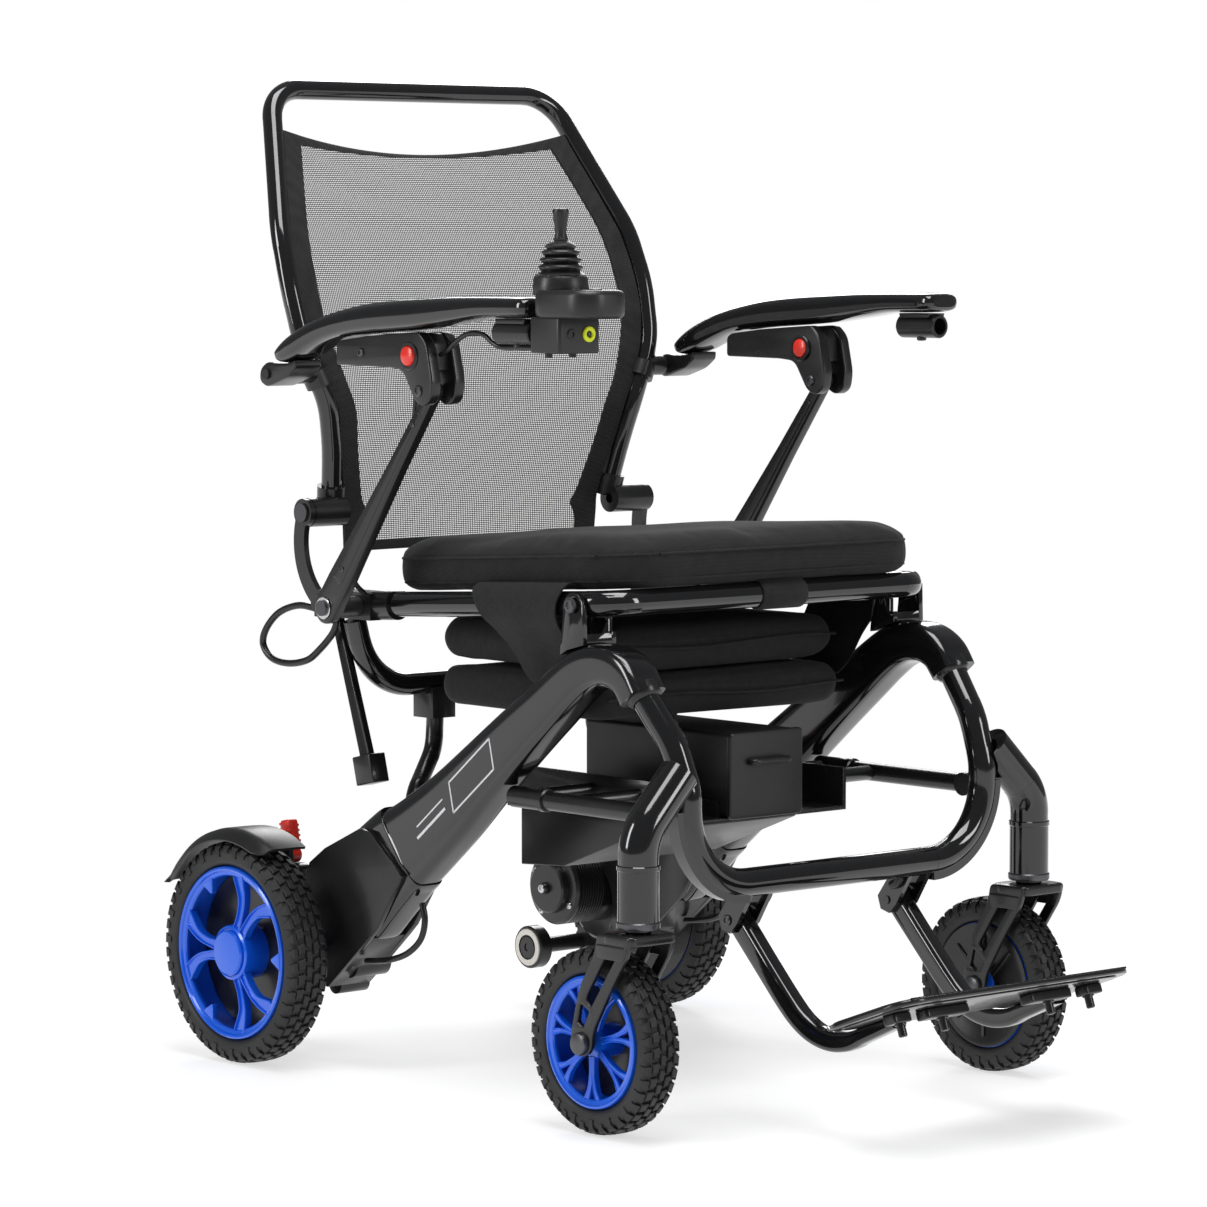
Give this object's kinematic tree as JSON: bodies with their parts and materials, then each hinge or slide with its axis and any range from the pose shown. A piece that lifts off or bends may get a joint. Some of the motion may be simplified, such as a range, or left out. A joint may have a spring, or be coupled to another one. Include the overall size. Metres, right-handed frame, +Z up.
{
  "type": "power wheelchair",
  "caption": "Folding power wheelchair: bonded side arches, driven rear wheels, swivelling casters, padded seat, mesh back, armrests with stick control, fold-up footrest.",
  "frame": {"origin": "on the floor under the middle of the chair's plan outline", "axes": "+Z up; the rider faces -Y; -X is the rider's right-hand side, with the hand control"},
  "size_m": [0.578, 0.896, 0.9506],
  "materials": {
    "carbon": "gloss",
    "frame_paint": "gloss",
    "satin_metal": "satin",
    "black_plastic": "matte",
    "pin_steel": "satin",
    "tyre_black": "matte",
    "rim_blue": "gloss",
    "signal_red": "gloss",
    "seat_fabric": "matte",
    "mesh_fabric": "matte",
    "cable_black": "satin",
    "knob_rubber": "satin",
    "roller_white": "satin"
  },
  "bodies": {
    "chassis": {"side_arch_right": "carbon", "side_arch_left": "carbon", "front_loop": "frame_paint", "caster_branch_right": "frame_paint", "caster_branch_left": "frame_paint", "lower_braces": "satin_metal", "battery_tray": "satin_metal", "control_box": "black_plastic", "motor_right": "satin_metal", "motor_left": "satin_metal", "motor_mounts": "satin_metal", "motor_cables": "cable_black", "fenders": "black_plastic", "anti_tip_arms": "satin_metal", "seat_clevises": "satin_metal", "rear_supports": "frame_paint", "frame_pins": "pin_steel"},
    "battery": {"battery_pack": "black_plastic"},
    "seat": {"seat_frame": "frame_paint", "seat_fittings": "satin_metal", "seat_rear_tube": "frame_paint", "seat_pins": "pin_steel", "seat_cushion": "seat_fabric", "seat_bag": "seat_fabric", "stand_legs": "satin_metal", "release_loop": "cable_black"},
    "backrest": {"back_frame": "frame_paint", "back_knuckles": "satin_metal", "back_mesh": "mesh_fabric"},
    "right_arm": {"armrest_right": "carbon", "arm_bracket_right": "satin_metal", "arm_cable": "cable_black", "controller": "black_plastic"},
    "left_arm": {"armrest_left": "carbon", "arm_bracket_left": "satin_metal"},
    "right_strut": {"strut_right": "satin_metal", "strut_cable": "cable_black"},
    "left_strut": {"strut_left": "satin_metal"},
    "right_button": {"release_button_right": "signal_red"},
    "left_button": {"release_button_left": "signal_red"},
    "stick_cross": {"joystick_gimbal": "black_plastic"},
    "stick": {"joystick_knob": "knob_rubber", "joystick_boot": "knob_rubber"},
    "power_key": {"power_button": "black_plastic"},
    "footrest": {"footrest_arms": "satin_metal", "footplate": "black_plastic"},
    "right_fork": {"caster_fork_right": "satin_metal"},
    "left_fork": {"caster_fork_left": "satin_metal"},
    "right_caster_wheel": {"caster_tyre_right": "tyre_black", "caster_rim_right": "rim_blue"},
    "left_caster_wheel": {"caster_tyre_left": "tyre_black", "caster_rim_left": "rim_blue"},
    "right_rear_wheel": {"rear_tyre_right": "tyre_black", "rear_rim_right": "rim_blue"},
    "left_rear_wheel": {"rear_tyre_left": "tyre_black", "rear_rim_left": "rim_blue"},
    "right_lever": {"freewheel_lever_right": "signal_red"},
    "left_lever": {"freewheel_lever_left": "signal_red"},
    "right_roller": {"anti_tip_roller_right": "roller_white"},
    "left_roller": {"anti_tip_roller_left": "roller_white"}
  },
  "joints": [
    {"name": "seat_fold", "type": "hinge", "parent": "chassis", "child": "seat", "pos_m": [0, -0.09, 0.466], "axis": [1, 0, 0], "range_deg": [0, 25]},
    {"name": "backrest_fold", "type": "hinge", "parent": "seat", "child": "backrest", "pos_m": [0, 0.302, 0.5327], "axis": [1, 0, 0], "range_deg": [0, 65]},
    {"name": "right_arm_fold", "type": "hinge", "parent": "backrest", "child": "right_arm", "pos_m": [-0.255, 0.292, 0.667], "axis": [1, 0, 0], "range_deg": [-43.5, 0]},
    {"name": "left_arm_fold", "type": "hinge", "parent": "backrest", "child": "left_arm", "pos_m": [0.255, 0.292, 0.667], "axis": [1, 0, 0], "range_deg": [-43.5, 0]},
    {"name": "right_strut_fold", "type": "hinge", "parent": "seat", "child": "right_strut", "pos_m": [-0.248, 0.226, 0.447], "axis": [1, 0, 0], "range_deg": [0, 43]},
    {"name": "left_strut_fold", "type": "hinge", "parent": "seat", "child": "left_strut", "pos_m": [0.248, 0.226, 0.447], "axis": [1, 0, 0], "range_deg": [0, 43]},
    {"name": "right_button_press", "type": "slide", "parent": "right_arm", "child": "right_button", "axis": [1, 0, 0], "range_m": [0, 0.003], "stiffness_N_per_m": 600, "springref_m": -0.001},
    {"name": "left_button_press", "type": "slide", "parent": "left_arm", "child": "left_button", "axis": [-1, 0, 0], "range_m": [0, 0.003], "stiffness_N_per_m": 600, "springref_m": -0.001},
    {"name": "stick_pitch", "type": "hinge", "parent": "right_arm", "child": "stick_cross", "pos_m": [-0.255, -0.119, 0.755], "axis": [1, 0, 0], "range_deg": [-18, 18], "stiffness_Nm_per_rad": 0.6},
    {"name": "stick_roll", "type": "hinge", "parent": "stick_cross", "child": "stick", "pos_m": [-0.255, -0.119, 0.755], "axis": [0, 1, 0], "range_deg": [-18, 18], "stiffness_Nm_per_rad": 0.6},
    {"name": "power_press", "type": "slide", "parent": "right_arm", "child": "power_key", "axis": [0, 0, -1], "range_m": [0, 0.0015], "stiffness_N_per_m": 500, "springref_m": -0.0008},
    {"name": "footrest_fold", "type": "hinge", "parent": "chassis", "child": "footrest", "pos_m": [0, -0.187, 0.181], "axis": [-1, 0, 0], "range_deg": [0, 62]},
    {"name": "battery_slide", "type": "slide", "parent": "chassis", "child": "battery", "axis": [0, -1, 0], "range_m": [0, 0.15]},
    {"name": "right_caster_swivel", "type": "hinge", "parent": "chassis", "child": "right_fork", "pos_m": [-0.248, -0.215, 0.189], "axis": [0, 0, 1], "continuous": true},
    {"name": "right_caster_roll", "type": "hinge", "parent": "right_fork", "child": "right_caster_wheel", "pos_m": [-0.248, -0.17, 0.084], "axis": [1, 0, 0], "continuous": true},
    {"name": "right_rear_roll", "type": "hinge", "parent": "chassis", "child": "right_rear_wheel", "pos_m": [-0.263, 0.34, 0.108], "axis": [1, 0, 0], "continuous": true},
    {"name": "right_freewheel", "type": "hinge", "parent": "chassis", "child": "right_lever", "pos_m": [-0.201, 0.345, 0.196], "axis": [1, 0, 0], "range_deg": [0, 35]},
    {"name": "right_roller_roll", "type": "hinge", "parent": "chassis", "child": "right_roller", "pos_m": [-0.152, 0.398, 0.065], "axis": [1, 0, 0], "continuous": true},
    {"name": "left_caster_swivel", "type": "hinge", "parent": "chassis", "child": "left_fork", "pos_m": [0.248, -0.215, 0.189], "axis": [0, 0, 1], "continuous": true},
    {"name": "left_caster_roll", "type": "hinge", "parent": "left_fork", "child": "left_caster_wheel", "pos_m": [0.248, -0.17, 0.084], "axis": [1, 0, 0], "continuous": true},
    {"name": "left_rear_roll", "type": "hinge", "parent": "chassis", "child": "left_rear_wheel", "pos_m": [0.263, 0.34, 0.108], "axis": [1, 0, 0], "continuous": true},
    {"name": "left_freewheel", "type": "hinge", "parent": "chassis", "child": "left_lever", "pos_m": [0.201, 0.345, 0.196], "axis": [1, 0, 0], "range_deg": [0, 35]},
    {"name": "left_roller_roll", "type": "hinge", "parent": "chassis", "child": "left_roller", "pos_m": [0.152, 0.398, 0.065], "axis": [1, 0, 0], "continuous": true}
  ],
  "couplings": [
    {"joint": "right_arm_fold", "follows": "backrest_fold", "ratio": -0.665},
    {"joint": "left_arm_fold", "follows": "backrest_fold", "ratio": -0.665},
    {"joint": "right_strut_fold", "follows": "backrest_fold", "ratio": 0.656},
    {"joint": "left_strut_fold", "follows": "backrest_fold", "ratio": 0.656}
  ]
}
